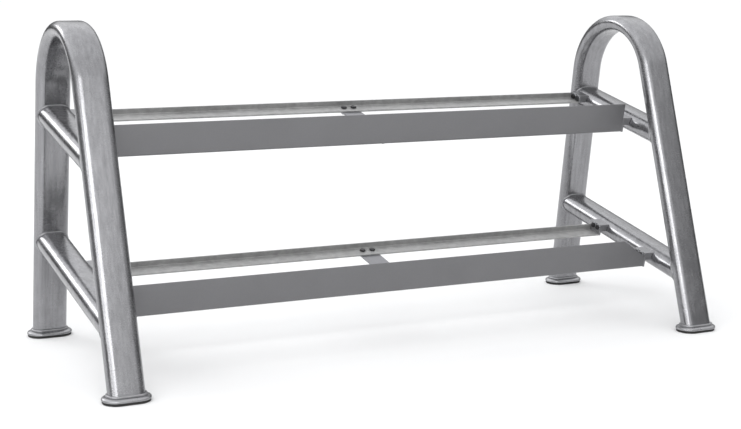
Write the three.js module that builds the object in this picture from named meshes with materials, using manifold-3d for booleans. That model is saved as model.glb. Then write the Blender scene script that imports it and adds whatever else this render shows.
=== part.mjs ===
// Two-tier dumbbell rack: two bent end frames joined by two sloping shelves of folded steel rails.
// Millimetres, +Z up, +X along the rails, -Y is the front. The origin is on the floor at the centre.
import * as THREE from 'three';
import { mergeVertices } from 'three/addons/utils/BufferGeometryUtils.js';
import Module from 'manifold-3d';

const wasm = await Module();
wasm.setup();

// Clearance between touching pieces.
const GAP = 0.3;
const degrees = Math.PI / 180;

// End frames: one flat-oval tube each, bent over the top.
const RACK_HEIGHT = 812;
const FRAME_SPACING = 1575;
const TUBE_WIDTH = 86;
const TUBE_THICKNESS = 40;
const TUBE_WALL = 3;
const BEND_RADIUS = 160;
const BEND_STEPS = 20;
const FRONT_LEAN = 19.5 * degrees;
const REAR_LEAN = 7 * degrees;

// Feet.
const PAD_THICKNESS = 6;
const FOOT_THICKNESS = 9;
const FOOT_WIDTH = 114;
const FOOT_DEPTH = 68;
const FOOT_BEVEL = 2.5;
const PAD_INSET = 2;
const PAD_PEG_OFFSET = 30;
const PAD_PEG_RADIUS = 5;
const PAD_PEG_LENGTH = 6;
const PAD_PEG_ROOT = 2;
const LEG_BOTTOM = PAD_THICKNESS + GAP + FOOT_THICKNESS + GAP;

// Cross members inside the end frames, one per tier, sloping down to the front.
const MEMBER_WIDTH = 80;
const MEMBER_THICKNESS = 54;
const MEMBER_DROP = 8;
const MEMBER_WALL = 3;
const SHELF_SLOPE = 11 * degrees;
const TIERS = [
  { name: 'lower', middleHeight: 208, rearRailFloor: -21, clipped: true },
  { name: 'upper', middleHeight: 546, rearRailFloor: -11.4, clipped: false },
];

// Rails, measured along the slope from the front leg's centreline, and square to it.
const RAIL_SHEET = 4;
const RAIL_BEND = 2;
const FRONT_RAIL_AT = 104;
const FRONT_RAIL_FLOOR = -29.6;
const FRONT_RAIL_LIP = 79.6;
const FRONT_RAIL_DEPTH = 45;
const FRONT_RAIL_CLIP_LENGTH = 74;
const FRONT_RAIL_CLIP_DROP = 49;
const REAR_RAIL_AT = 317;
const REAR_RAIL_LIP = 18;
const REAR_RAIL_DEPTH = 48;

// End fittings that carry the rails on the round sides of the cross members.
const SADDLE_THICKNESS = 18;
const SADDLE_HEIGHT = 20;
const SADDLE_WRAP = 8;
const END_PLATE = 5;
const END_PLATE_TOP = 10;
const END_BOLT_SPACING = 20;
const FRONT_END_BOLTS_AT = 25;
const REAR_END_BOLTS_AT = 19;
const END_BOLT_HEIGHT = 1;
const END_BOLT_LENGTH = 34;

// Centre straps.
const STRAP_WIDTH = 54;
const STRAP_SHEET = 4;
const STRAP_BOLT_SPACING = 28;
const FRONT_STRAP_BOLT_AT = 27;
const REAR_STRAP_BOLTS_AT = 24;
const STRAP_SETBACK = 7;
const STRAP_STEP_FROM = 176;
const STRAP_STEP_TO = 200;

// M8 fasteners.
const BOLT_RADIUS = 4;
const BOLT_HOLE_RADIUS = 4.5;
const BOLT_HEAD_RADIUS = 7.5;
const BOLT_HEAD_HEIGHT = 5.3;
const BOLT_CHAMFER = 1;
const BOLT_OVERHANG = 1.5;
const NUT_HEIGHT = 6.5;

// Steps in each curved shape.
const ARC_SEGMENTS = 5;
const FOLD_SEGMENTS = 4;
const FOOT_SEGMENTS = 6;
const ROUND_SEGMENTS = 12;

// How far cutting shapes reach, and how far the members start out past the legs before they are coped.
const CUT_REACH = 300;
const DRILL_LENGTH = 80;
const LIP_CUT_CLEARANCE = 20;
const MEMBER_OVERRUN = 60;

const SLOPE_PASSES = 20;
const WELD_DISTANCE = 1e-4;
const SAME_HEIGHT = 1e-6;

// Solids from plain geometry, for cutting and joining.

function toSolid(geometry) {
  const bare = geometry.clone();
  bare.deleteAttribute('normal');
  bare.deleteAttribute('uv');
  const merged = mergeVertices(bare, WELD_DISTANCE);
  return new wasm.Manifold(new wasm.Mesh({
    numProp: 3,
    vertProperties: new Float32Array(merged.attributes.position.array),
    triVerts: new Uint32Array(merged.index.array),
  }));
}

function fromSolid(solid) {
  const mesh = solid.getMesh();
  const geometry = new THREE.BufferGeometry();
  geometry.setAttribute('position', new THREE.BufferAttribute(new Float32Array(mesh.vertProperties), 3));
  geometry.setIndex(new THREE.BufferAttribute(new Uint32Array(mesh.triVerts), 1));
  geometry.computeVertexNormals();
  return geometry;
}

function cut(geometry, cutters) {
  let solid = toSolid(geometry);
  for (const cutter of cutters) {
    solid = solid.subtract(toSolid(cutter));
  }
  return fromSolid(solid);
}

function join(geometries) {
  let solid = toSolid(geometries[0]);
  for (const geometry of geometries.slice(1)) {
    solid = solid.add(toSolid(geometry));
  }
  return fromSolid(solid);
}

// Outline of a flat-oval section: straight sides and half-round ends.
function ovalOutline(width, thickness) {
  const radius = thickness / 2;
  const straight = width / 2 - radius;
  const outline = new THREE.Shape();
  outline.moveTo(-straight, -radius);
  outline.lineTo(straight, -radius);
  outline.absarc(straight, 0, radius, -Math.PI / 2, Math.PI / 2, false);
  outline.lineTo(-straight, radius);
  outline.absarc(-straight, 0, radius, Math.PI / 2, 3 * Math.PI / 2, false);
  return outline;
}

function ovalTubeOutline(width, thickness, wall) {
  const outline = ovalOutline(width, thickness);
  outline.holes.push(ovalOutline(width - 2 * wall, thickness - 2 * wall));
  return outline;
}

// Where the end frame's centreline runs, in the frame's own Y and Z.
const bendHeight = RACK_HEIGHT - TUBE_THICKNESS / 2 - BEND_RADIUS;

function legRun(lean) {
  const tangentHeight = bendHeight + BEND_RADIUS * Math.sin(lean);
  return BEND_RADIUS * Math.cos(lean) + (tangentHeight - LEG_BOTTOM) * Math.tan(lean);
}

const bendY = (legRun(FRONT_LEAN) - legRun(REAR_LEAN)) / 2;
const footY = (legRun(FRONT_LEAN) + legRun(REAR_LEAN)) / 2;

function frontLegY(height) {
  return -footY + (height - LEG_BOTTOM) * Math.tan(FRONT_LEAN);
}

function rearLegY(height) {
  return footY - (height - LEG_BOTTOM) * Math.tan(REAR_LEAN);
}

// The legs run past the floor end, so that a level cut can trim them.
const LEG_OVERRUN = 30;

class ArchPath extends THREE.Curve {
  constructor() {
    super();
    this.steps = BEND_STEPS + 2;
  }

  place(along) {
    const firstAngle = Math.PI - FRONT_LEAN;
    const lastAngle = REAR_LEAN;
    if (along >= 1 && along <= this.steps - 1) {
      const share = (along - 1) / BEND_STEPS;
      const angle = firstAngle + (lastAngle - firstAngle) * share;
      return {
        y: bendY + BEND_RADIUS * Math.cos(angle),
        z: bendHeight + BEND_RADIUS * Math.sin(angle),
        angle,
      };
    }
    const front = along < 1;
    const angle = front ? firstAngle : lastAngle;
    const lean = front ? FRONT_LEAN : REAR_LEAN;
    const side = front ? -1 : 1;
    const share = front ? 1 - along : along - (this.steps - 1);
    const tangentHeight = bendHeight + BEND_RADIUS * Math.sin(angle);
    const length = (tangentHeight - LEG_BOTTOM) / Math.cos(lean) + LEG_OVERRUN;
    return {
      y: bendY + BEND_RADIUS * Math.cos(angle) + side * length * share * Math.sin(lean),
      z: tangentHeight - length * share * Math.cos(lean),
      angle,
    };
  }

  getPoint(t, target = new THREE.Vector3()) {
    const spot = this.place(t * this.steps);
    return target.set(0, spot.y, spot.z);
  }

  getPointAt(u, target) {
    return this.getPoint(u, target);
  }

  getTangent(t, target = new THREE.Vector3()) {
    const spot = this.place(t * this.steps);
    return target.set(0, Math.sin(spot.angle), -Math.cos(spot.angle));
  }

  getTangentAt(u, target) {
    return this.getTangent(u, target);
  }
}

function archGeometry(outline) {
  const path = new ArchPath();
  return new THREE.ExtrudeGeometry(outline, {
    extrudePath: path,
    steps: path.steps,
    curveSegments: ARC_SEGMENTS,
  });
}

function endFrameGeometry() {
  const tube = archGeometry(ovalTubeOutline(TUBE_WIDTH, TUBE_THICKNESS, TUBE_WALL));
  const below = new THREE.BoxGeometry(2 * TUBE_WIDTH, 4 * footY, CUT_REACH);
  below.translate(0, 0, LEG_BOTTOM - CUT_REACH / 2);
  return cut(tube, [below]);
}

// Solid envelope of the end frame, a little larger, that copes the cross members to the legs.
function copingGeometry() {
  return archGeometry(ovalOutline(TUBE_WIDTH + 2 * GAP, TUBE_THICKNESS + 2 * GAP));
}

// Round, hexagonal and flat pieces along an axis.

function disc(radius, length, segments = ROUND_SEGMENTS) {
  return new THREE.CylinderGeometry(radius, radius, length, segments);
}

function alongX(geometry, x, y, z) {
  geometry.rotateZ(-Math.PI / 2);
  geometry.translate(x, y, z);
  return geometry;
}

function alongZ(geometry, x, y, z) {
  geometry.rotateX(Math.PI / 2);
  geometry.translate(x, y, z);
  return geometry;
}

// A hexagon bolt on the Y axis with its head's seat at zero and the shank pointing up Y.
function boltGeometry(shankLength) {
  const head = disc(BOLT_HEAD_RADIUS, BOLT_HEAD_HEIGHT, 6);
  head.translate(0, -BOLT_HEAD_HEIGHT / 2, 0);
  const shank = disc(BOLT_RADIUS, shankLength);
  shank.translate(0, shankLength / 2 - BOLT_CHAMFER, 0);
  const chamfer = new THREE.CylinderGeometry(
    BOLT_RADIUS - BOLT_CHAMFER,
    BOLT_RADIUS,
    BOLT_CHAMFER,
    ROUND_SEGMENTS,
  );
  chamfer.translate(0, shankLength - BOLT_CHAMFER / 2, 0);
  return join([head, shank, chamfer]);
}

function nutGeometry() {
  return cut(disc(BOLT_HEAD_RADIUS, NUT_HEIGHT, 6), [disc(BOLT_RADIUS + GAP, 2 * NUT_HEIGHT)]);
}

// Cross members. The slope pivots at the front leg's centreline.

const innerX = FRAME_SPACING / 2 - MEMBER_WIDTH / 2;
const plateInnerX = innerX - SADDLE_THICKNESS - END_PLATE;
const railEndX = plateInnerX - GAP;

function memberEnds(middleHeight) {
  let frontHeight = middleHeight;
  let rearHeight = middleHeight;
  for (let pass = 0; pass < SLOPE_PASSES; pass += 1) {
    const middleY = (frontLegY(frontHeight) + rearLegY(rearHeight)) / 2;
    frontHeight = middleHeight + (frontLegY(frontHeight) - middleY) * Math.tan(SHELF_SLOPE);
    rearHeight = middleHeight + (rearLegY(rearHeight) - middleY) * Math.tan(SHELF_SLOPE);
  }
  return {
    front: new THREE.Vector3(0, frontLegY(frontHeight), frontHeight),
    rear: new THREE.Vector3(0, rearLegY(rearHeight), rearHeight),
  };
}

function railsOf(tier) {
  return {
    front: {
      at: FRONT_RAIL_AT,
      floor: FRONT_RAIL_FLOOR,
      depth: FRONT_RAIL_DEPTH,
      boltsAt: FRONT_RAIL_AT + FRONT_END_BOLTS_AT,
    },
    rear: {
      at: REAR_RAIL_AT,
      floor: tier.rearRailFloor,
      depth: REAR_RAIL_DEPTH,
      boltsAt: REAR_RAIL_AT + REAR_END_BOLTS_AT,
    },
  };
}

function endBoltSpots(rail) {
  return [rail.boltsAt - END_BOLT_SPACING / 2, rail.boltsAt + END_BOLT_SPACING / 2];
}

// Everything on the far side of a leg's middle plane, so that a coped member stops inside the leg.
function beyondLeg(end, lean, side) {
  const block = new THREE.BoxGeometry(2 * TUBE_WIDTH, CUT_REACH, 2 * CUT_REACH);
  block.translate(0, side * CUT_REACH / 2, 0);
  block.rotateX(side * lean);
  block.translate(0, end.y, end.z);
  return block;
}

// Drilled while level, then laid on its slope so that the legs can cope its ends.
function memberGeometry(tier, side, coping) {
  const ends = memberEnds(tier.middleHeight);
  const length = ends.front.distanceTo(ends.rear);
  const spots = Object.values(railsOf(tier)).flatMap(endBoltSpots);
  const holes = spots.map((along) => alongX(
    disc(BOLT_HOLE_RADIUS, DRILL_LENGTH),
    -side * MEMBER_WIDTH / 2,
    along,
    END_BOLT_HEIGHT,
  ));
  const level = new THREE.ExtrudeGeometry(ovalTubeOutline(MEMBER_WIDTH, MEMBER_THICKNESS, MEMBER_WALL), {
    depth: length + 2 * MEMBER_OVERRUN,
    bevelEnabled: false,
    curveSegments: ARC_SEGMENTS,
  });
  level.rotateX(-Math.PI / 2);
  level.translate(0, -MEMBER_OVERRUN, -MEMBER_DROP);
  const drilled = cut(level, holes);
  drilled.rotateX(SHELF_SLOPE);
  drilled.translate(0, ends.front.y, ends.front.z);
  return cut(drilled, [
    coping,
    beyondLeg(ends.front, FRONT_LEAN, -1),
    beyondLeg(ends.rear, REAR_LEAN, 1),
  ]);
}

// An end fitting is a plate with a saddle on its back, shaped to a cross member's round side.
function endFittingGeometry(rail, side) {
  const middle = rail.at + rail.depth / 2;
  const height = END_PLATE_TOP - rail.floor;
  const plate = new THREE.BoxGeometry(END_PLATE, rail.depth, height);
  plate.translate(-SADDLE_THICKNESS - END_PLATE / 2, middle, rail.floor + height / 2);
  const saddle = new THREE.BoxGeometry(SADDLE_THICKNESS + SADDLE_WRAP, rail.depth, SADDLE_HEIGHT);
  saddle.translate((SADDLE_WRAP - SADDLE_THICKNESS) / 2, middle, 0);
  const member = new THREE.ExtrudeGeometry(
    ovalOutline(MEMBER_WIDTH + 2 * GAP, MEMBER_THICKNESS + 2 * GAP),
    { depth: 2 * CUT_REACH, bevelEnabled: false, curveSegments: ARC_SEGMENTS },
  );
  member.rotateX(-Math.PI / 2);
  member.translate(MEMBER_WIDTH / 2, 0, -MEMBER_DROP);
  const fitting = cut(join([plate, saddle]), [member]);
  if (side < 0) {
    fitting.rotateZ(Math.PI);
    fitting.translate(0, 2 * middle, 0);
  }
  fitting.translate(side * innerX, 0, 0);
  const holes = endBoltSpots(rail).map((along) => alongX(
    disc(BOLT_HOLE_RADIUS, DRILL_LENGTH),
    side * innerX,
    along,
    END_BOLT_HEIGHT,
  ));
  return cut(fitting, holes);
}

// Folded angle with a rounded heel. The corner is at zero and the legs run up Y and along X.
function angleOutline(depth, lip) {
  const outer = RAIL_BEND + RAIL_SHEET;
  const outline = new THREE.Shape();
  outline.moveTo(outer, 0);
  outline.lineTo(depth, 0);
  outline.lineTo(depth, RAIL_SHEET);
  outline.lineTo(outer, RAIL_SHEET);
  outline.absarc(outer, outer, RAIL_BEND, 3 * Math.PI / 2, Math.PI, true);
  outline.lineTo(RAIL_SHEET, lip);
  outline.lineTo(0, lip);
  outline.lineTo(0, outer);
  outline.absarc(outer, outer, outer, Math.PI, 3 * Math.PI / 2, false);
  return outline;
}

function angleRail(depth, lip) {
  const rail = new THREE.ExtrudeGeometry(angleOutline(depth, lip), {
    depth: 2 * railEndX,
    bevelEnabled: false,
    curveSegments: FOLD_SEGMENTS,
  });
  rail.translate(0, 0, -railEndX);
  rail.rotateX(Math.PI / 2);
  rail.rotateZ(Math.PI / 2);
  return rail;
}

// One bolt at the strap's front end and a pair at its rear end.
const frontStrapBolts = [{ x: 0, y: FRONT_RAIL_AT + FRONT_STRAP_BOLT_AT }];
const rearStrapBolts = [-1, 1].map((side) => ({
  x: side * STRAP_BOLT_SPACING / 2,
  y: REAR_RAIL_AT + REAR_STRAP_BOLTS_AT,
}));

function strapHoles(spots) {
  return spots.map((spot) => alongZ(disc(BOLT_HOLE_RADIUS, DRILL_LENGTH), spot.x, spot.y, 0));
}

// Takes the top corner off the lip at the front rail's right end.
function lipCutter() {
  const top = FRONT_RAIL_FLOOR + FRONT_RAIL_LIP;
  const inner = railEndX - FRONT_RAIL_CLIP_LENGTH;
  const outer = railEndX + LIP_CUT_CLEARANCE;
  const corner = new THREE.Shape();
  corner.moveTo(inner, top);
  corner.lineTo(railEndX, top - FRONT_RAIL_CLIP_DROP);
  corner.lineTo(outer, top - FRONT_RAIL_CLIP_DROP);
  corner.lineTo(outer, top + LIP_CUT_CLEARANCE);
  corner.lineTo(inner, top + LIP_CUT_CLEARANCE);
  const wedge = new THREE.ExtrudeGeometry(corner, { depth: 2 * LIP_CUT_CLEARANCE, bevelEnabled: false });
  wedge.rotateX(Math.PI / 2);
  wedge.translate(0, FRONT_RAIL_AT + LIP_CUT_CLEARANCE, 0);
  return wedge;
}

function frontRailGeometry(tier) {
  const rail = angleRail(FRONT_RAIL_DEPTH, FRONT_RAIL_LIP);
  rail.translate(0, FRONT_RAIL_AT, FRONT_RAIL_FLOOR);
  const cutters = strapHoles(frontStrapBolts);
  if (tier.clipped) {
    cutters.push(lipCutter());
  }
  return cut(rail, cutters);
}

function rearRailGeometry(tier) {
  const rail = angleRail(REAR_RAIL_DEPTH, REAR_RAIL_LIP);
  rail.rotateZ(Math.PI);
  rail.translate(0, REAR_RAIL_AT + REAR_RAIL_DEPTH, tier.rearRailFloor);
  return cut(rail, strapHoles(rearStrapBolts));
}

// The strap lies on the front rail's floor, steps up where it has to, and runs on under the rear rail.
const strapFront = FRONT_RAIL_AT + RAIL_SHEET + STRAP_SETBACK;
const strapRear = REAR_RAIL_AT + REAR_RAIL_DEPTH - STRAP_SETBACK;
const strapFrontFloor = FRONT_RAIL_FLOOR + RAIL_SHEET + GAP;

function strapGeometry(tier) {
  const rearFloor = tier.rearRailFloor - GAP - STRAP_SHEET;
  const run = [
    [strapFront, strapFrontFloor],
    [STRAP_STEP_FROM, strapFrontFloor],
    [STRAP_STEP_TO, rearFloor],
    [strapRear, rearFloor],
  ];
  const bent = Math.abs(rearFloor - strapFrontFloor) > SAME_HEIGHT;
  const spots = bent ? run : [run[0], run[3]];
  const profile = new THREE.Shape();
  profile.moveTo(...spots[0]);
  spots.slice(1).forEach((spot) => profile.lineTo(...spot));
  spots.reverse().forEach(([along, height]) => profile.lineTo(along, height + STRAP_SHEET));
  const strap = new THREE.ExtrudeGeometry(profile, { depth: STRAP_WIDTH, bevelEnabled: false });
  strap.translate(0, 0, -STRAP_WIDTH / 2);
  strap.rotateX(Math.PI / 2);
  strap.rotateZ(Math.PI / 2);
  return cut(strap, [...strapHoles(frontStrapBolts), ...strapHoles(rearStrapBolts)]);
}

// Feet.

function ovalPlate(width, depth, thickness, bevel) {
  const outline = ovalOutline(width - 2 * bevel, depth - 2 * bevel);
  const plate = new THREE.ExtrudeGeometry(outline, {
    depth: thickness - 2 * bevel,
    bevelEnabled: bevel > 0,
    bevelThickness: bevel,
    bevelSize: bevel,
    bevelSegments: 1,
    curveSegments: FOOT_SEGMENTS,
  });
  plate.translate(0, 0, bevel);
  return plate;
}

// The rubber pad's moulded pegs press into the foot plate.
function padPegs(radius, length, middle) {
  return [-1, 1].map((side) => alongZ(disc(radius, length), side * PAD_PEG_OFFSET, 0, middle));
}

function footPlateGeometry() {
  const plate = ovalPlate(FOOT_WIDTH, FOOT_DEPTH, FOOT_THICKNESS, FOOT_BEVEL);
  return cut(plate, padPegs(PAD_PEG_RADIUS + GAP, 4 * FOOT_THICKNESS, 0));
}

function footPadGeometry() {
  const pad = ovalPlate(FOOT_WIDTH - 2 * PAD_INSET, FOOT_DEPTH - 2 * PAD_INSET, PAD_THICKNESS, 0);
  const pegMiddle = PAD_THICKNESS + (PAD_PEG_LENGTH - PAD_PEG_ROOT) / 2;
  return join([pad, ...padPegs(PAD_PEG_RADIUS, PAD_PEG_LENGTH + PAD_PEG_ROOT, pegMiddle)]);
}

// Materials.

const finishes = {
  silver: { color: 0xb4b4b8, roughness: 0.38, metalness: 0.75 },
  railGrey: { color: 0x77787c, roughness: 0.5, metalness: 0.55 },
  rearGrey: { color: 0x8f8f92, roughness: 0.48, metalness: 0.6 },
  strapGrey: { color: 0x98989e, roughness: 0.5, metalness: 0.6 },
  zinc: { color: 0x9a9da2, roughness: 0.35, metalness: 0.95 },
  darkBolt: { color: 0x2d2e30, roughness: 0.45, metalness: 0.85 },
  rubber: { color: 0x161616, roughness: 0.85, metalness: 0 },
};

function named(name, geometry, finish) {
  const mesh = new THREE.Mesh(geometry, new THREE.MeshStandardMaterial(finishes[finish]));
  mesh.name = name;
  return mesh;
}

// Assembly.

const rack = new THREE.Group();
rack.name = 'dumbbell_rack';

const sides = [
  { name: 'left', sign: -1 },
  { name: 'right', sign: 1 },
];

const legs = [
  { name: 'front', y: -footY },
  { name: 'rear', y: footY },
];

const coping = copingGeometry();

for (const side of sides) {
  const frame = new THREE.Group();
  frame.name = `${side.name}_end`;
  frame.position.x = side.sign * FRAME_SPACING / 2;
  frame.add(named(`${side.name}_end_frame`, endFrameGeometry(), 'silver'));
  for (const tier of TIERS) {
    const member = memberGeometry(tier, side.sign, coping);
    frame.add(named(`${side.name}_${tier.name}_cross_member`, member, 'silver'));
  }
  for (const leg of legs) {
    const plate = named(`${side.name}_${leg.name}_foot_plate`, footPlateGeometry(), 'silver');
    plate.position.set(0, leg.y, PAD_THICKNESS + GAP);
    const pad = named(`${side.name}_${leg.name}_foot_pad`, footPadGeometry(), 'rubber');
    pad.position.set(0, leg.y, 0);
    frame.add(plate, pad);
  }
  rack.add(frame);
}

for (const tier of TIERS) {
  const ends = memberEnds(tier.middleHeight);
  const shelf = new THREE.Group();
  shelf.name = `${tier.name}_shelf`;
  shelf.position.copy(ends.front);
  shelf.rotation.x = SHELF_SLOPE;

  shelf.add(named(`${tier.name}_front_rail`, frontRailGeometry(tier), 'railGrey'));
  shelf.add(named(`${tier.name}_rear_rail`, rearRailGeometry(tier), 'rearGrey'));
  shelf.add(named(`${tier.name}_centre_strap`, strapGeometry(tier), 'strapGrey'));

  for (const side of sides) {
    for (const [place, rail] of Object.entries(railsOf(tier))) {
      const label = `${tier.name}_${place}_${side.name}`;
      shelf.add(named(`${label}_end_fitting`, endFittingGeometry(rail, side.sign), 'railGrey'));
      endBoltSpots(rail).forEach((along, index) => {
        const bolt = named(`${label}_end_bolt_${index + 1}`, boltGeometry(END_BOLT_LENGTH), 'darkBolt');
        bolt.rotation.z = -side.sign * Math.PI / 2;
        bolt.position.set(side.sign * (plateInnerX - GAP), along, END_BOLT_HEIGHT);
        shelf.add(bolt);
      });
    }
  }

  const stacks = [
    {
      place: 'front',
      top: strapFrontFloor + STRAP_SHEET,
      bottom: FRONT_RAIL_FLOOR,
      spots: frontStrapBolts,
    },
    {
      place: 'rear',
      top: tier.rearRailFloor + RAIL_SHEET,
      bottom: tier.rearRailFloor - GAP - STRAP_SHEET,
      spots: rearStrapBolts,
    },
  ];
  for (const stack of stacks) {
    const shankLength = stack.top - stack.bottom + 2 * GAP + NUT_HEIGHT + BOLT_OVERHANG;
    stack.spots.forEach((spot, index) => {
      const label = `${tier.name}_${stack.place}_strap`;
      const bolt = named(`${label}_bolt_${index + 1}`, boltGeometry(shankLength), 'darkBolt');
      bolt.rotation.x = -Math.PI / 2;
      bolt.position.set(spot.x, spot.y, stack.top + GAP);
      const nut = named(`${label}_nut_${index + 1}`, nutGeometry(), 'zinc');
      nut.rotation.x = Math.PI / 2;
      nut.position.set(spot.x, spot.y, stack.bottom - GAP - NUT_HEIGHT / 2);
      shelf.add(bolt, nut);
    });
  }
  rack.add(shelf);
}

export default rack;
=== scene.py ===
"""Two-tier dumbbell rack: the finished look, built round the CAD frame.

Lengths are in millimetres until a mesh is made, which is in metres. Lights and the camera are in metres.
"""
import math
import random

import bpy
import bmesh
from mathutils import Matrix, Vector


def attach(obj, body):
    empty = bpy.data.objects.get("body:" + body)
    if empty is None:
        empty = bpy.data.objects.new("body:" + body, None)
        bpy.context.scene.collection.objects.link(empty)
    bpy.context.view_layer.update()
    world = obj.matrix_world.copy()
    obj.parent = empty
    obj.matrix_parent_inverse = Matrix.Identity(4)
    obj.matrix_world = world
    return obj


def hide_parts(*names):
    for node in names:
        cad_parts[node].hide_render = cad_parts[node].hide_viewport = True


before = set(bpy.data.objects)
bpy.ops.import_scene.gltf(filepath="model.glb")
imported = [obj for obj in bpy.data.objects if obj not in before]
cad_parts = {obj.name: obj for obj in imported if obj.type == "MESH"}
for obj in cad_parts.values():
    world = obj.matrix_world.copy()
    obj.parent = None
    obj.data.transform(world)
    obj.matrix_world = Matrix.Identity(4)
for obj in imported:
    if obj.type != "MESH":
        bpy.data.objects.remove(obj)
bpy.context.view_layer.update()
MM = 0.001
SIDES = (("left", -1), ("right", 1))

# The rack's own dimensions, as in the CAD model.
HEIGHT = 812.0
SPACING = 1575.0
TUBE_W, TUBE_T, TUBE_WALL = 86.0, 40.0, 3.0
BEND_R = 160.0
FRONT_LEAN, REAR_LEAN = math.radians(19.5), math.radians(7.0)
PAD_T, FOOT_T, GAP = 6.0, 9.0, 0.3
FOOT_W, FOOT_D = 114.0, 68.0
FOOT_LOW = PAD_T + GAP
LEG_BOTTOM = FOOT_LOW + FOOT_T + GAP
MEMBER_W, MEMBER_T, MEMBER_WALL = 80.0, 54.0, 3.0
MEMBER_DROP = 8.0
SLOPE = math.radians(11.0)
SLOPE_PASSES = 20
TIERS = (
    dict(name="lower", middle=208.0, rear_floor=-21.0, clipped=True),
    dict(name="upper", middle=546.0, rear_floor=-11.4, clipped=False),
)
SHEET = 4.0
BEND_IN = 2.0
FRONT_RAIL = dict(at=104.0, floor=-29.6, lip=79.6, depth=45.0, bolts=129.0)
REAR_RAIL = dict(at=317.0, lip=18.0, depth=48.0, bolts=336.0)
SADDLE, END_PLATE = 18.0, 5.0
SADDLE_HALF = 10.0
CLIP_LENGTH, CLIP_DROP = 74.0, 49.0
STRAP_W, STRAP_T = 54.0, 4.0
STRAP_SETBACK = 7.0
STRAP_STEP = (176.0, 200.0)
FRONT_STRAP_BOLT = 27.0
REAR_STRAP_BOLTS = 24.0
STRAP_BOLT_HALF_SPACING = 14.0
END_BOLT_HALF_SPACING = 10.0
END_BOLT_HEIGHT = 1.0
INNER_X = SPACING / 2 - MEMBER_W / 2
PLATE_X = INNER_X - SADDLE - END_PLATE
RAIL_END = PLATE_X - GAP
BEND_Z = HEIGHT - TUBE_T / 2 - BEND_R

# Fasteners, M8. The seating is the thin gap left under each head, washer and nut.
HEX_RADIUS = 7.5
HEX_CORNERS = 12
END_HEAD, STRAP_HEAD, NUT = 4.9, 5.3, 6.5
WASHER_R, WASHER_T, WASHER_EDGE, WASHER_SIDES = 8.2, 1.3, 0.25, 32
THREAD_R, THREAD_PITCH, THREAD_SIDES = 4.0, 1.25, 24
THREAD_FROM, THREAD_LENGTH = 6.3, 1.8
SEATING = 0.1

# Weld beads: the step along a bead, the length of one ripple and the corners of its section.
BEAD_STEP, BEAD_RIPPLE, BEAD_SIDES = 1.1, 4.2, 10
BEAD_BODY, BEAD_CREST, BEAD_JITTER, BEAD_TIP = 0.86, 0.2, 0.03, 0.6
MEMBER_WELD, FOOT_WELD, RAIL_WELD = 2.7, 3.4, 1.9
WELD_SEAM_STEPS = 18

# Noise scales of the coats, in cells per metre, with the depth of the orange peel in metres.
BROAD_SCALE, PEEL_SCALE, GRAIN_SCALE, FLAKE_SCALE = 3.5, 210.0, 520.0, 900.0
DRAW_SCALE = (130.0, 60.0, 2.2)
PEEL_DEPTH = 0.0006
# Pointiness at which a coat starts to thin on an edge, and at which it is thinnest.
EDGE_STARTS, EDGE_THINNEST = 0.53, 0.62

# Foot outlines, as (inset from the foot's edge, height above its underside).
FLANGE_PROFILE = (
    (3.0, 0.0), (0.8, 0.0), (0.1, 0.6), (0.0, 1.6), (0.0, 3.0), (0.3, 4.0),
    (1.1, 5.2), (2.4, 6.3), (4.2, 7.3), (6.4, 8.1), (9.0, 8.7), (12.0, 9.0),
)
PAD_PROFILE = (
    (4.0, 0.0), (2.6, 0.1), (2.0, 0.8), (1.7, 2.2), (2.3, 2.9),
    (2.3, 3.4), (1.7, 4.0), (2.0, 5.4), (2.6, PAD_T), (4.0, PAD_T),
)


def leg_run(lean):
    top = BEND_Z + BEND_R * math.sin(lean)
    return BEND_R * math.cos(lean) + (top - LEG_BOTTOM) * math.tan(lean)


BEND_Y = (leg_run(FRONT_LEAN) - leg_run(REAR_LEAN)) / 2
FOOT_Y = (leg_run(FRONT_LEAN) + leg_run(REAR_LEAN)) / 2
LEGS = (("front", -FOOT_Y, FRONT_LEAN), ("rear", FOOT_Y, REAR_LEAN))


def front_leg_y(z):
    return -FOOT_Y + (z - LEG_BOTTOM) * math.tan(FRONT_LEAN)


def rear_leg_y(z):
    return FOOT_Y - (z - LEG_BOTTOM) * math.tan(REAR_LEAN)


def member_ends(middle):
    """Where a cross member's slope line meets the two legs' centrelines, as (y, z) pairs."""
    front = rear = middle
    for _ in range(SLOPE_PASSES):
        centre = (front_leg_y(front) + rear_leg_y(rear)) / 2
        front = middle + (front_leg_y(front) - centre) * math.tan(SLOPE)
        rear = middle + (rear_leg_y(rear) - centre) * math.tan(SLOPE)
    return (front_leg_y(front), front), (rear_leg_y(rear), rear)


def shelf_point(ends, x, along, h):
    """A point on a tier: along its slope from the front leg's centreline, and h square to it."""
    y0, z0 = ends[0]
    c, s = math.cos(SLOPE), math.sin(SLOPE)
    return Vector((x, y0 + along * c - h * s, z0 + along * s + h * c))


def label_seed(label):
    return sum(map(ord, label))


# ---------------------------------------------------------------- meshes


def finish_mesh(name, bm, material, sharp=38.0, bevel=0.0):
    bmesh.ops.remove_doubles(bm, verts=bm.verts, dist=1e-7)
    bmesh.ops.recalc_face_normals(bm, faces=bm.faces)
    mesh = bpy.data.meshes.new(name)
    bm.to_mesh(mesh)
    bm.free()
    mesh.materials.append(material)
    mesh.shade_smooth()
    mesh.set_sharp_from_angle(angle=math.radians(sharp))
    piece = bpy.data.objects.new(name, mesh)
    bpy.context.scene.collection.objects.link(piece)
    if bevel:
        rounding = piece.modifiers.new("edge_rounding", "BEVEL")
        rounding.width = bevel * MM
        rounding.segments = 2
        rounding.limit_method = "ANGLE"
        rounding.angle_limit = math.radians(50)
        rounding.harden_normals = True
    return piece


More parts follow.
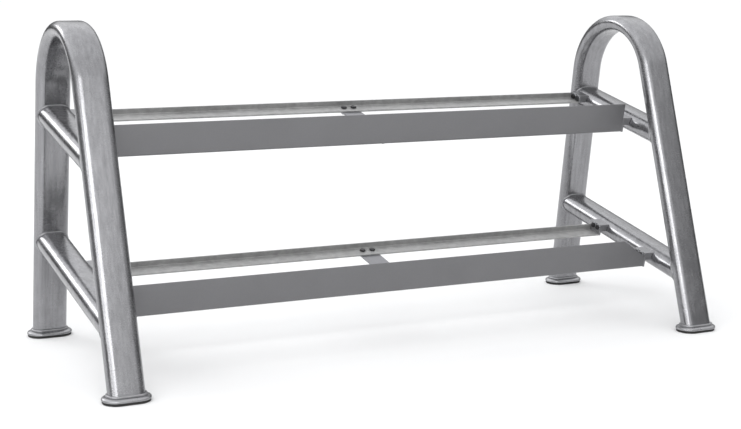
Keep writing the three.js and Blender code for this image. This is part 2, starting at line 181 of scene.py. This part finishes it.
def add_rings(bm, rings, closed=False):
    """Skin over a run of rings of equal length; each ring is a closed loop of points in millimetres."""
    rows = [[bm.verts.new(p * MM) for p in ring] for ring in rings]
    count = len(rows[0])
    last = len(rows) if closed else len(rows) - 1
    for i in range(last):
        a, b = rows[i], rows[(i + 1) % len(rows)]
        for j in range(count):
            k = (j + 1) % count
            bm.faces.new((a[j], a[k], b[k], b[j]))
    return rows


def solid_loft(name, rings, material, **options):
    bm = bmesh.new()
    rows = add_rings(bm, rings)
    bm.faces.new(rows[0])
    bm.faces.new(rows[-1])
    return finish_mesh(name, bm, material, **options)


def tube_loft(name, outer, inner, material, **options):
    bm = bmesh.new()
    out_rows, in_rows = add_rings(bm, outer), add_rings(bm, inner)
    count = len(out_rows[0])
    for end in (0, -1):
        for j in range(count):
            k = (j + 1) % count
            bm.faces.new((out_rows[end][j], out_rows[end][k], in_rows[end][k], in_rows[end][j]))
    return finish_mesh(name, bm, material, **options)


def oval(width, thickness, steps=14):
    """Flat-oval outline as (across, through) points: two half-round ends joined by straight sides."""
    r, half = thickness / 2, width / 2 - thickness / 2
    points = []
    for sign in (1, -1):
        for i in range(steps + 1):
            a = -math.pi / 2 + math.pi * i / steps
            points.append((sign * (half + r * math.cos(a)), sign * r * math.sin(a)))
    return points


def lowered(width, thickness, steps=14):
    """The cross member's outline, which sits a little below the slope line."""
    return [(x, h - MEMBER_DROP) for x, h in oval(width, thickness, steps)]


def path_lengths(path):
    """Distance along the path at each of its points."""
    lengths = [0.0]
    for i in range(1, len(path)):
        lengths.append(lengths[-1] + (path[i] - path[i - 1]).length)
    return lengths


def place_on_path(path, lengths, where, closed):
    """The point at a distance along the path, and the direction of the path there."""
    count = len(path)
    i = max(k for k in range(count) if lengths[k] <= where + 1e-9)
    nxt = path[(i + 1) % count] if closed or i + 1 < count else path[i]
    step = nxt - path[i]
    here = path[i].lerp(nxt, min(1.0, (where - lengths[i]) / (step.length or 1.0)))
    return here, step.normalized() if step.length else Vector((1, 0, 0))


def bead(name, path, radius, material, seed, closed=True):
    """Weld bead: a rounded, rippled cord of weld metal laid along a path of points."""
    rng = random.Random(seed)
    lengths = path_lengths(path)
    total = lengths[-1] + ((path[0] - path[-1]).length if closed else 0.0)
    stations = max(24, int(total / BEAD_STEP))
    waves = max(6, int(total / BEAD_RIPPLE))
    middle = sum(path, Vector()) / len(path)
    rings = []
    for s in range(stations if closed else stations + 1):
        where = total * s / stations
        here, ahead = place_on_path(path, lengths, where, closed)
        out = here - middle
        out = (out - ahead * out.dot(ahead)).normalized()
        up = ahead.cross(out)
        phase = (where / total * waves) % 1.0
        ripple = BEAD_CREST * math.sqrt(phase) * (1.0 - phase ** 6)
        swell = radius * (BEAD_BODY + ripple + rng.uniform(-BEAD_JITTER, BEAD_JITTER))
        if not closed and (s < 2 or s > stations - 2):
            swell *= BEAD_TIP
        rings.append([
            here + out * (swell * math.cos(a)) + up * (swell * math.sin(a))
            for a in (2 * math.pi * n / BEAD_SIDES for n in range(BEAD_SIDES))
        ])
    bm = bmesh.new()
    rows = add_rings(bm, rings, closed=closed)
    if not closed:
        bm.faces.new(rows[0])
        bm.faces.new(rows[-1])
    return finish_mesh(name, bm, material, sharp=70.0)


def turned_part(name, origin, axis, profile, sides, material, sharp=30.0):
    """Revolved or prismatic piece. A profile entry's height and radii alternate round the corners."""
    axis = axis.normalized()
    ref = Vector((1, 0, 0)) if abs(axis.x) < 0.9 else Vector((0, 0, 1))
    u = axis.cross(ref).normalized()
    v = axis.cross(u)
    rings = []
    for height, radii in profile:
        ring = []
        for n in range(sides):
            radius = radii[n % len(radii)]
            lift = height[n % len(height)] if isinstance(height, tuple) else height
            a = 2 * math.pi * n / sides
            ring.append(origin + axis * lift + (u * math.cos(a) + v * math.sin(a)) * radius)
        rings.append(ring)
    return solid_loft(name, rings, material, sharp=sharp)


def hex_profile(height, corner, chamfer=0.3):
    """Hexagon head or nut: corners and flats alternate, and both ends are chamfered."""
    flat = corner * math.cos(math.pi / 6)
    return [
        (0.0, (flat * 0.93, flat * 0.93)),
        (chamfer, (flat * 0.98, flat * 0.97)),
        ((chamfer + 0.5, chamfer), (corner, flat)),
        ((height - 1.3, height - 0.45), (corner, flat)),
        (height - 0.05, (flat * 0.95, flat * 0.95)),
        (height, (flat * 0.9, flat * 0.9)),
    ]


def ring_profile(height, outer, chamfer):
    return [
        (0.0, (outer - chamfer,)),
        (chamfer, (outer,)),
        (height - chamfer, (outer,)),
        (height, (outer - chamfer,)),
    ]


def thread_profile(length, radius, pitch):
    """A bolt's end: thread crests and roots, then a chamfered tip."""
    profile = [(0.0, (radius - 0.2,))]
    for i in range(int((length - 0.5) / pitch)):
        base = pitch * i
        profile += [(base + 0.35, (radius,)), (base + 0.55, (radius,)), (base + 1.05, (radius - 0.62,))]
    profile += [(length - 0.6, (radius - 0.5,)), (length, (radius - 1.1,))]
    return profile


# ---------------------------------------------------------------- materials


def new_material(name):
    material = bpy.data.materials.new(name)
    material.use_nodes = True
    tree = material.node_tree
    tree.nodes.clear()
    output = tree.nodes.new("ShaderNodeOutputMaterial")
    shader = tree.nodes.new("ShaderNodeBsdfPrincipled")
    tree.links.new(shader.outputs[0], output.inputs["Surface"])
    return material, tree, shader


def object_place(tree):
    return tree.nodes.new("ShaderNodeTexCoord").outputs["Object"]


def noise(tree, vector, scale, detail=3.0, rough=0.55):
    node = tree.nodes.new("ShaderNodeTexNoise")
    node.inputs["Scale"].default_value = scale
    node.inputs["Detail"].default_value = detail
    node.inputs["Roughness"].default_value = rough
    tree.links.new(vector, node.inputs["Vector"])
    return node.outputs["Fac"]


def spread(tree, value, low, high, start=0.3, end=0.7):
    """Maps a value from start..end, by default a noise's usual range, to low..high."""
    node = tree.nodes.new("ShaderNodeMapRange")
    node.inputs["From Min"].default_value = start
    node.inputs["From Max"].default_value = end
    node.inputs["To Min"].default_value = low
    node.inputs["To Max"].default_value = high
    tree.links.new(value, node.inputs["Value"])
    return node.outputs[0]


def math_node(tree, kind, a, b):
    node = tree.nodes.new("ShaderNodeMath")
    node.operation = kind
    for socket, value in zip(node.inputs, (a, b)):
        if isinstance(value, float):
            socket.default_value = value
        else:
            tree.links.new(value, socket)
    return node.outputs[0]


def mix(tree, factor, a, b):
    node = tree.nodes.new("ShaderNodeMix")
    node.data_type = "RGBA"
    tree.links.new(factor, node.inputs[0])
    for socket, value in ((node.inputs[6], a), (node.inputs[7], b)):
        if isinstance(value, tuple):
            socket.default_value = (*value, 1.0)
        else:
            tree.links.new(value, socket)
    return node.outputs[2]


def bump(tree, shader, height, strength, distance):
    node = tree.nodes.new("ShaderNodeBump")
    node.inputs["Strength"].default_value = strength
    node.inputs["Distance"].default_value = distance
    tree.links.new(height, node.inputs["Height"])
    tree.links.new(node.outputs[0], shader.inputs["Normal"])


def scaled(colour, k):
    return tuple(min(1.0, c * k) for c in colour)


def flake_cells(tree, place):
    """A random tone for each tiny cell, for the coat's bright flake."""
    cells = tree.nodes.new("ShaderNodeTexVoronoi")
    cells.inputs["Scale"].default_value = FLAKE_SCALE
    tree.links.new(place, cells.inputs["Vector"])
    split = tree.nodes.new("ShaderNodeSeparateColor")
    tree.links.new(cells.outputs["Color"], split.inputs[0])
    return split.outputs[0]


def draw_marks(tree, place):
    """Noise stretched along Z, for the faint lines that drawing leaves along a tube."""
    stretch = tree.nodes.new("ShaderNodeMapping")
    stretch.inputs["Scale"].default_value = DRAW_SCALE
    tree.links.new(place, stretch.inputs["Vector"])
    return noise(tree, stretch.outputs[0], 1.0, 3.0, 0.65)


def coated_metal(
    name, colour, metallic, roughness, mottle, mottle_scale, flake, peel, streak=0.0, wear=0.35, coat=0.1
):
    """Metallic powder coat: cloudy tone, bright flake, orange peel, draw marks and thin edges."""
    material, tree, shader = new_material(name)
    place = object_place(tree)
    clouds = noise(tree, place, mottle_scale, 4.0, 0.6)
    broad = spread(tree, noise(tree, place, BROAD_SCALE, 2.0), -mottle / 2, mottle / 2)
    cells = spread(tree, flake_cells(tree, place), -flake, flake, 0.0, 1.0)
    grain = noise(tree, place, GRAIN_SCALE, 3.0)

    total = math_node(tree, "ADD", spread(tree, clouds, -mottle, mottle), broad)
    total = math_node(tree, "ADD", total, cells)
    if streak:
        total = math_node(tree, "ADD", total, spread(tree, draw_marks(tree, place), -streak, streak))
    tone = math_node(tree, "ADD", total, 0.5)
    painted = mix(tree, tone, scaled(colour, 0.5), scaled(colour, 1.5))
    edge = tree.nodes.new("ShaderNodeNewGeometry").outputs["Pointiness"]
    thin = spread(tree, edge, 0.0, wear, EDGE_STARTS, EDGE_THINNEST)
    bare = math_node(tree, "MULTIPLY", thin, spread(tree, clouds, 0.2, 1.0))
    tree.links.new(mix(tree, bare, painted, scaled(colour, 1.9)), shader.inputs["Base Color"])

    shader.inputs["Metallic"].default_value = metallic
    matt = math_node(tree, "ADD", spread(tree, clouds, -0.05, 0.06), spread(tree, grain, -0.04, 0.04))
    tree.links.new(math_node(tree, "ADD", matt, roughness), shader.inputs["Roughness"])
    shader.inputs["Coat Weight"].default_value = coat
    shader.inputs["Coat Roughness"].default_value = 0.25
    dimples = noise(tree, place, PEEL_SCALE, 2.0)
    height = math_node(tree, "ADD", dimples, spread(tree, grain, 0.0, 0.35))
    bump(tree, shader, height, peel, PEEL_DEPTH)
    return material


def plated_steel(name, colour, roughness, rust=0.0):
    """Plated or blackened fastener steel: blotchy plating, fine grain and a little rust bloom."""
    material, tree, shader = new_material(name)
    place = object_place(tree)
    blotch = noise(tree, place, 160.0, 4.0)
    fine = noise(tree, place, 1400.0, 2.0)
    tone = math_node(tree, "ADD", spread(tree, blotch, 0.1, 0.8), spread(tree, fine, -0.12, 0.12))
    colours = mix(tree, tone, scaled(colour, 0.65), scaled(colour, 1.35))
    if rust:
        spots = spread(tree, noise(tree, place, 70.0, 5.0), 0.0, rust, 0.58, 0.75)
        colours = mix(tree, spots, colours, (0.16, 0.09, 0.05))
    tree.links.new(colours, shader.inputs["Base Color"])
    shader.inputs["Metallic"].default_value = 0.92
    matt = math_node(tree, "ADD", spread(tree, blotch, -0.08, 0.1), roughness)
    tree.links.new(matt, shader.inputs["Roughness"])
    bump(tree, shader, fine, 0.12, 0.0002)
    return material


def moulded_rubber(name):
    """Black rubber with a fine grain and a little dust."""
    material, tree, shader = new_material(name)
    place = object_place(tree)
    dust = noise(tree, place, 45.0, 5.0, 0.65)
    grain = noise(tree, place, 1100.0, 3.0)
    colours = mix(tree, spread(tree, dust, 0.0, 0.55), (0.012, 0.012, 0.013), (0.05, 0.048, 0.045))
    tree.links.new(colours, shader.inputs["Base Color"])
    tree.links.new(spread(tree, dust, 0.68, 0.88), shader.inputs["Roughness"])
    bump(tree, shader, grain, 0.35, 0.0003)
    return material


FRAME_PAINT = coated_metal(
    "frame_silver", colour=(0.27, 0.27, 0.28), metallic=0.9, roughness=0.25,
    mottle=0.04, mottle_scale=16.0, flake=0.025, peel=0.1, streak=0.16,
)
FOOT_PAINT = coated_metal(
    "foot_silver", colour=(0.33, 0.33, 0.34), metallic=0.9, roughness=0.3,
    mottle=0.06, mottle_scale=24.0, flake=0.03, peel=0.12,
)
FRONT_PAINT = coated_metal(
    "front_rail_grey", colour=(0.168, 0.168, 0.174), metallic=0.5, roughness=0.46,
    mottle=0.05, mottle_scale=9.0, flake=0.03, peel=0.14, coat=0.04,
)
REAR_PAINT = coated_metal(
    "rear_rail_grey", colour=(0.355, 0.355, 0.353), metallic=0.55, roughness=0.5,
    mottle=0.16, mottle_scale=55.0, flake=0.07, peel=0.2, coat=0.0,
)
STRAP_PAINT = coated_metal(
    "strap_grey", colour=(0.25, 0.25, 0.265), metallic=0.6, roughness=0.46,
    mottle=0.08, mottle_scale=30.0, flake=0.05, peel=0.16, coat=0.0,
)
FITTING_PAINT = coated_metal(
    "fitting_grey", colour=(0.26, 0.26, 0.27), metallic=0.75, roughness=0.36,
    mottle=0.08, mottle_scale=30.0, flake=0.05, peel=0.16, coat=0.0,
)
WELD_PAINT = coated_metal(
    "weld_silver", colour=(0.3, 0.3, 0.31), metallic=0.85, roughness=0.34,
    mottle=0.08, mottle_scale=60.0, flake=0.03, peel=0.18, wear=0.4,
)
BLACK_STEEL = plated_steel("black_oxide_steel", (0.06, 0.06, 0.064), 0.36, rust=0.15)
ZINC = plated_steel("bright_zinc", (0.58, 0.59, 0.61), 0.3)
RUBBER = moulded_rubber("foot_rubber")


def keep(piece, slot, *nodes):
    """Puts a piece under its body, the root, and hides the CAD nodes that it stands for. The slot argument
    is not used.
    """
    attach(piece, "root")
    if nodes:
        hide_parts(*nodes)


# ---------------------------------------------------------------- end frames


def leg_ring(outline, across, angle, lean, side, share):
    """One ring on a straight leg: share is 0 at the bend and 1 at the floor end, which is level."""
    base_y = BEND_Y + BEND_R * math.cos(angle)
    base_z = BEND_Z + BEND_R * math.sin(angle)
    ring = []
    for x, n in outline:
        y = base_y + n * math.cos(angle)
        z = base_z + n * math.sin(angle)
        drop = (z - LEG_BOTTOM) * share
        ring.append(Vector((across + x, y + side * drop * math.tan(lean), z - drop)))
    return ring


def arch_rings(outline, across, bends=56):
    """The flat-oval section carried up the front leg, over the bend and down the rear leg."""
    first, last = math.pi - FRONT_LEAN, REAR_LEAN
    shares = (0.2, 0.4, 0.6, 0.8, 1.0)
    rings = [leg_ring(outline, across, first, FRONT_LEAN, -1, share) for share in reversed(shares)]
    for i in range(bends + 1):
        a = first + (last - first) * i / bends
        rings.append([
            Vector((across + x, BEND_Y + (BEND_R + n) * math.cos(a), BEND_Z + (BEND_R + n) * math.sin(a)))
            for x, n in outline
        ])
    rings += [leg_ring(outline, across, last, REAR_LEAN, 1, share) for share in shares]
    return rings


def leg_face(x):
    """How far the leg's surface stands off its middle plane at a distance x from its centre."""
    r = TUBE_T / 2
    over = max(0.0, abs(x) - (TUBE_W / 2 - r))
    return math.sqrt(max(0.0, r * r - over * over))


def meets_leg(ends, x, h, front):
    """Distance along the cross member at which its surface point (x, h) meets the leg."""
    lean = FRONT_LEAN if front else -REAR_LEAN
    leg_y, leg_z = ends[0] if front else ends[1]
    facing = 1.0 if front else -1.0
    ny, nz = math.cos(lean) * facing, -math.sin(lean) * facing
    start = shelf_point(ends, x, 0.0, h)
    reach = (start.y - leg_y) * ny + (start.z - leg_z) * nz
    rate = math.cos(SLOPE) * ny + math.sin(SLOPE) * nz
    return (leg_face(x) - reach) / rate


def member_rings(ends, across, outline, sink=0.2):
    """Rings along a cross member, coped at both ends to the legs."""
    rings = []
    for share in (0.0, 0.02, 0.25, 0.5, 0.75, 0.98, 1.0):
        ring = []
        for x, h in outline:
            start = meets_leg(ends, x, h, True) - sink
            stop = meets_leg(ends, x, h, False) + sink
            ring.append(shelf_point(ends, across + x, start + (stop - start) * share, h))
        rings.append(ring)
    return rings


def end_frame(side, across):
    tube = tube_loft(
        f"{side}_end_frame_tube",
        arch_rings(oval(TUBE_W, TUBE_T), across),
        arch_rings(oval(TUBE_W - 2 * TUBE_WALL, TUBE_T - 2 * TUBE_WALL), across),
        FRAME_PAINT,
    )
    keep(tube, "frame_paint", f"{side}_end_frame")


def cross_member(side, across, tier):
    ends = member_ends(tier["middle"])
    label = f"{side}_{tier['name']}"
    member = tube_loft(
        f"{label}_cross_member_tube",
        member_rings(ends, across, lowered(MEMBER_W, MEMBER_T)),
        member_rings(ends, across, lowered(MEMBER_W - 2 * MEMBER_WALL, MEMBER_T - 2 * MEMBER_WALL)),
        FRAME_PAINT,
    )
    keep(member, "frame_paint", f"{label}_cross_member")
    for place, front in (("front", True), ("rear", False)):
        member_weld(side, across, tier, place, front)


def member_weld(side, across, tier, place, front, proud=1.5, off=1.0):
    ends = member_ends(tier["middle"])
    seam = []
    for x, h in lowered(MEMBER_W + proud, MEMBER_T + proud, WELD_SEAM_STEPS):
        along = meets_leg(ends, x, h, front) + (off if front else -off)
        seam.append(shelf_point(ends, across + x, along, h))
    name = f"{side}_{tier['name']}_{place}_member_weld"
    weld = bead(name, seam, MEMBER_WELD, WELD_PAINT, label_seed(side + tier["name"] + place))
    keep(weld, "frame_paint")


def foot_rings(across, y, profile, low, steps=16):
    """Rings of a flat-oval foot, from a profile of (inset, height)."""
    return [
        [
            Vector((across + x, y + t, low + height))
            for x, t in oval(FOOT_W - 2 * inset, FOOT_D - 2 * inset, steps)
        ]
        for inset, height in profile
    ]


def foot(side, across, leg, y, lean, proud=3.0, lift=1.4):
    """A flared flange on a rubber pad, welded round the leg's end."""
    label = f"{side}_{leg}_foot"
    flange = solid_loft(f"{label}_flange", foot_rings(across, y, FLANGE_PROFILE, FOOT_LOW), FOOT_PAINT)
    keep(flange, "foot_plate", f"{label}_plate")
    pad = solid_loft(f"{label}_rubber", foot_rings(across, y, PAD_PROFILE, 0.0), RUBBER, sharp=50.0)
    keep(pad, "foot_rubber", f"{label}_pad")
    seam = [
        Vector((across + x, y + t / math.cos(lean), LEG_BOTTOM + lift))
        for x, t in oval(TUBE_W + proud, TUBE_T + proud, WELD_SEAM_STEPS)
    ]
    keep(bead(f"{label}_weld", seam, FOOT_WELD, WELD_PAINT, label_seed(side + leg)), "frame_paint")


for side, sign in SIDES:
    across = sign * SPACING / 2
    end_frame(side, across)
    for tier in TIERS:
        cross_member(side, across, tier)
    for leg, y, lean in LEGS:
        foot(side, across, leg, y, lean)


# ---------------------------------------------------------------- rails


def angle_outline(depth, lip, steps=7):
    """Folded angle: (along, up) with the corner at zero, bottom leg along and lip up."""
    outer = BEND_IN + SHEET
    points = [(depth, 0.0), (depth, SHEET), (outer, SHEET)]
    for i in range(1, steps):
        a = 1.5 * math.pi - 0.5 * math.pi * i / steps
        points.append((outer + BEND_IN * math.cos(a), outer + BEND_IN * math.sin(a)))
    points += [(SHEET, outer), (SHEET, lip), (0.0, lip), (0.0, outer)]
    for i in range(1, steps):
        a = math.pi + 0.5 * math.pi * i / steps
        points.append((outer + outer * math.cos(a), outer + outer * math.sin(a)))
    points.append((outer, 0.0))
    return points


def rail_rings(ends, rail, flip, stations):
    """Rings along a rail; each station is (x, lip height there)."""
    rings = []
    for x, lip in stations:
        ring = []
        for along, up in angle_outline(rail["depth"], lip):
            at = rail["at"] + (rail["depth"] - along if flip else along)
            ring.append(shelf_point(ends, x, at, rail["floor"] + up))
        rings.append(ring)
    return rings


def front_rail(tier, ends, spans=16):
    """The front angle. On the clipped tier its lip slants down at the right end."""
    inner = RAIL_END - CLIP_LENGTH
    lip = FRONT_RAIL["lip"]
    end_lip = lip - CLIP_DROP if tier["clipped"] else lip
    stations = [(-RAIL_END + (inner + RAIL_END) * k / spans, lip) for k in range(spans + 1)]
    stations.append((RAIL_END, end_lip))
    rings = rail_rings(ends, FRONT_RAIL, False, stations)
    piece = solid_loft(f"{tier['name']}_front_angle", rings, FRONT_PAINT, bevel=0.55)
    keep(piece, "front_rail_paint", f"{tier['name']}_front_rail")


def rear_rail(tier, ends, rail, half_spans=10):
    stations = [(RAIL_END * k / half_spans, rail["lip"]) for k in range(-half_spans, half_spans + 1)]
    rings = rail_rings(ends, rail, True, stations)
    piece = solid_loft(f"{tier['name']}_rear_angle", rings, REAR_PAINT, bevel=0.55)
    keep(piece, "rear_rail_paint", f"{tier['name']}_rear_rail")


def strap(tier, ends, front_base, rear_base, seat=30.0, step_spans=8):
    """Flat bar across the shelf, with an eased step between its two seats."""
    start = FRONT_RAIL["at"] + SHEET + STRAP_SETBACK
    stop = REAR_RAIL["at"] + REAR_RAIL["depth"] - STRAP_SETBACK
    step_from, step_to = STRAP_STEP
    run = [(start, front_base), (start + seat, front_base)]
    for k in range(step_spans + 1):
        share = k / step_spans
        ease = share * share * (3 - 2 * share)
        run.append((step_from + (step_to - step_from) * share, front_base + (rear_base - front_base) * ease))
    run += [((step_to + stop) / 2, rear_base), (stop, rear_base)]
    half = STRAP_W / 2
    corners = ((-half, 0.0), (half, 0.0), (half, STRAP_T), (-half, STRAP_T))
    rings = [[shelf_point(ends, x, at, base + lift) for x, lift in corners] for at, base in run]
    piece = solid_loft(f"{tier['name']}_strap_bar", rings, STRAP_PAINT, bevel=0.7)
    keep(piece, "strap_paint", f"{tier['name']}_centre_strap")


def fitting_rings(ends, rail, sign, arc_steps=10):
    """End fitting: a flat plate with a saddle behind it that hugs the cross member's round side."""
    r = MEMBER_T / 2 + GAP
    back = -SADDLE
    outline = [(back - END_PLATE, rail["floor"]), (back, rail["floor"]), (back, -SADDLE_HALF)]
    for i in range(arc_steps + 1):
        h = SADDLE_HALF * (2 * i / arc_steps - 1)
        outline.append((MEMBER_T / 2 - math.sqrt(r * r - (h + MEMBER_DROP) ** 2), h))
    outline += [(back, SADDLE_HALF), (back - END_PLATE, SADDLE_HALF)]
    return [
        [shelf_point(ends, sign * (INNER_X + x), at, h) for x, h in outline]
        for at in (rail["at"], rail["at"] + rail["depth"])
    ]


def end_fitting(label, ends, rail, sign):
    fitting = solid_loft(f"{label}_saddle", fitting_rings(ends, rail, sign), FITTING_PAINT, bevel=0.6)
    keep(fitting, "fitting_paint", f"{label}_end_fitting")
    rail_weld(label, ends, rail, sign)
    for index, offset in ((1, -END_BOLT_HALF_SPACING), (2, END_BOLT_HALF_SPACING)):
        end_bolt(label, index, ends, rail["bolts"] + offset, sign)


def rail_weld(label, ends, rail, sign, inset=0.9):
    """A short bead along the corner between the rail's floor and its end fitting."""
    height = rail["floor"] + SHEET + inset
    path = [
        shelf_point(ends, sign * (RAIL_END - inset), rail["at"] + share * rail["depth"], height)
        for share in (0.16, 0.4, 0.65, 0.88)
    ]
    weld = bead(f"{label}_rail_weld", path, RAIL_WELD, FITTING_PAINT, label_seed(label), closed=False)
    keep(weld, "fitting_paint")


def end_bolt(label, index, ends, along, sign):
    """A hexagon bolt on a washer, on the end fitting's inner face."""
    seat = shelf_point(ends, sign * (PLATE_X - SEATING), along, END_BOLT_HEIGHT)
    inward = Vector((-sign, 0, 0))
    profile = ring_profile(WASHER_T, WASHER_R, WASHER_EDGE)
    washer = turned_part(f"{label}_washer_{index}", seat, inward, profile, WASHER_SIDES, ZINC)
    keep(washer, "zinc")
    head_seat = seat + inward * (WASHER_T + SEATING / 2)
    profile = hex_profile(END_HEAD, HEX_RADIUS)
    bolt = turned_part(f"{label}_hex_bolt_{index}", head_seat, inward, profile, HEX_CORNERS, BLACK_STEEL)
    keep(bolt, "dark_bolt", f"{label}_end_bolt_{index}")


def strap_bolt(label, index, ends, x, at, top, bottom):
    """A hexagon bolt down through the strap and rail, with its nut and thread end below."""
    normal = Vector((0, -math.sin(SLOPE), math.cos(SLOPE)))
    seat = shelf_point(ends, x, at, top + SEATING)
    profile = hex_profile(STRAP_HEAD, HEX_RADIUS)
    head = turned_part(f"{label}_hex_head_{index}", seat, normal, profile, HEX_CORNERS, BLACK_STEEL)
    keep(head, "dark_bolt", f"{label}_bolt_{index}")
    under = shelf_point(ends, x, at, bottom - SEATING)
    profile = hex_profile(NUT, HEX_RADIUS)
    nut = turned_part(f"{label}_hex_nut_{index}", under, -normal, profile, HEX_CORNERS, ZINC)
    keep(nut, "zinc", f"{label}_nut_{index}")
    tip = under - normal * THREAD_FROM
    profile = thread_profile(THREAD_LENGTH, THREAD_R, THREAD_PITCH)
    end = turned_part(f"{label}_thread_{index}", tip, -normal, profile, THREAD_SIDES, BLACK_STEEL)
    keep(end, "dark_bolt")


def shelf(tier):
    ends = member_ends(tier["middle"])
    name = tier["name"]
    rear = dict(REAR_RAIL, floor=tier["rear_floor"])
    front_base = FRONT_RAIL["floor"] + SHEET + GAP
    rear_base = rear["floor"] - GAP - STRAP_T
    front_rail(tier, ends)
    rear_rail(tier, ends, rear)
    strap(tier, ends, front_base, rear_base)
    for side, sign in SIDES:
        for place, rail in (("front", FRONT_RAIL), ("rear", rear)):
            end_fitting(f"{name}_{place}_{side}", ends, rail, sign)
    front_at = FRONT_RAIL["at"] + FRONT_STRAP_BOLT
    strap_bolt(f"{name}_front_strap", 1, ends, 0.0, front_at, front_base + STRAP_T, FRONT_RAIL["floor"])
    rear_at = rear["at"] + REAR_STRAP_BOLTS
    for index, x in ((1, -STRAP_BOLT_HALF_SPACING), (2, STRAP_BOLT_HALF_SPACING)):
        strap_bolt(f"{name}_rear_strap", index, ends, x, rear_at, rear["floor"] + SHEET, rear_base)


for tier in TIERS:
    shelf(tier)


# ---------------------------------------------------------------- studio


def studio_floor(reach=70.0):
    mesh = bpy.data.meshes.new("studio_floor")
    corners = [(-reach, -reach, 0), (reach, -reach, 0), (reach, reach, 0), (-reach, reach, 0)]
    mesh.from_pydata(corners, [], [(0, 1, 2, 3)])
    floor = bpy.data.objects.new("studio_floor", mesh)
    bpy.context.scene.collection.objects.link(floor)
    material, _, shader = new_material("studio_white")
    shader.inputs["Base Color"].default_value = (0.86, 0.86, 0.86, 1.0)
    shader.inputs["Roughness"].default_value = 0.9
    shader.inputs["Specular IOR Level"].default_value = 0.1
    mesh.materials.append(material)


def studio_sky():
    """Soft light that grows from the horizon up, a little stronger to the left and behind."""
    world = bpy.data.worlds.new("studio")
    bpy.context.scene.world = world
    world.use_nodes = True
    tree = world.node_tree
    tree.nodes.clear()
    parts = tree.nodes.new("ShaderNodeSeparateXYZ")
    tree.links.new(tree.nodes.new("ShaderNodeTexCoord").outputs["Generated"], parts.inputs[0])
    rise = tree.nodes.new("ShaderNodeMapRange")
    rise.interpolation_type = "SMOOTHSTEP"
    rise.inputs["From Min"].default_value = 0.12
    rise.inputs["From Max"].default_value = 0.6
    rise.inputs["To Min"].default_value = 0.06
    rise.inputs["To Max"].default_value = 1.72
    tree.links.new(parts.outputs["Z"], rise.inputs["Value"])
    across_lean = spread(tree, parts.outputs["X"], 1.2, 0.8, -1.0, 1.0)
    depth_lean = spread(tree, parts.outputs["Y"], 0.62, 1.0, -1.0, 1.0)
    leans = math_node(tree, "MULTIPLY", across_lean, depth_lean)
    sky = tree.nodes.new("ShaderNodeBackground")
    sky.inputs["Color"].default_value = (0.985, 0.99, 1.0, 1.0)
    tree.links.new(math_node(tree, "MULTIPLY", rise.outputs[0], leans), sky.inputs["Strength"])
    tree.links.new(sky.outputs[0], tree.nodes.new("ShaderNodeOutputWorld").inputs["Surface"])


def softbox(name, place, target, width, height, power):
    light = bpy.data.lights.new(name, "AREA")
    light.shape = "RECTANGLE"
    light.size, light.size_y = width, height
    light.energy = power
    lamp = bpy.data.objects.new(name, light)
    bpy.context.scene.collection.objects.link(lamp)
    lamp.location = place
    lamp.rotation_euler = (Vector(target) - Vector(place)).to_track_quat("-Z", "Y").to_euler()


def view_camera(sensor=36.0, focal_length=74.3077, shift=-0.0035223, far=400.0):
    """The camera that gives the matched view, with its sensor and focal length in real millimetres."""
    place = Vector((-1.7978, -3.4362, 1.0141))
    yaw, pitch, roll = math.radians(27.21), math.radians(10.16), math.radians(0.99)
    flat = math.cos(pitch)
    ahead = Vector((math.sin(yaw) * flat, math.cos(yaw) * flat, -math.sin(pitch)))
    right = Vector((math.cos(yaw), -math.sin(yaw), 0.0))
    up = right.cross(ahead)
    right, up = right * math.cos(roll) + up * math.sin(roll), up * math.cos(roll) - right * math.sin(roll)
    lens = bpy.data.cameras.new("view")
    lens.sensor_width = sensor
    lens.lens = focal_length
    lens.shift_y = shift
    lens.clip_end = far
    camera = bpy.data.objects.new("view", lens)
    bpy.context.scene.collection.objects.link(camera)
    turn = Matrix((right, up, -ahead)).transposed()
    camera.matrix_world = Matrix.Translation(place) @ turn.to_4x4()
    return camera


FRONT_TARGET, REAR_TARGET = (-0.6, 0, 0.4), (0, 0, 0.4)
studio_floor()
studio_sky()
softbox("key_softbox", (-2.6, -4.8, 2.8), FRONT_TARGET, width=3.6, height=2.0, power=112.0)
softbox("front_softbox", (0.8, -5.4, 2.9), FRONT_TARGET, width=2.4, height=2.2, power=12.0)
softbox("left_softbox", (-5.3, -3.2, 2.0), FRONT_TARGET, width=2.2, height=1.6, power=38.0)
softbox("rear_softbox", (-3.6, 5.2, 3.2), REAR_TARGET, width=2.0, height=1.4, power=60.0)
bpy.context.scene.camera = view_camera()
bpy.context.scene.view_settings.view_transform = "Standard"
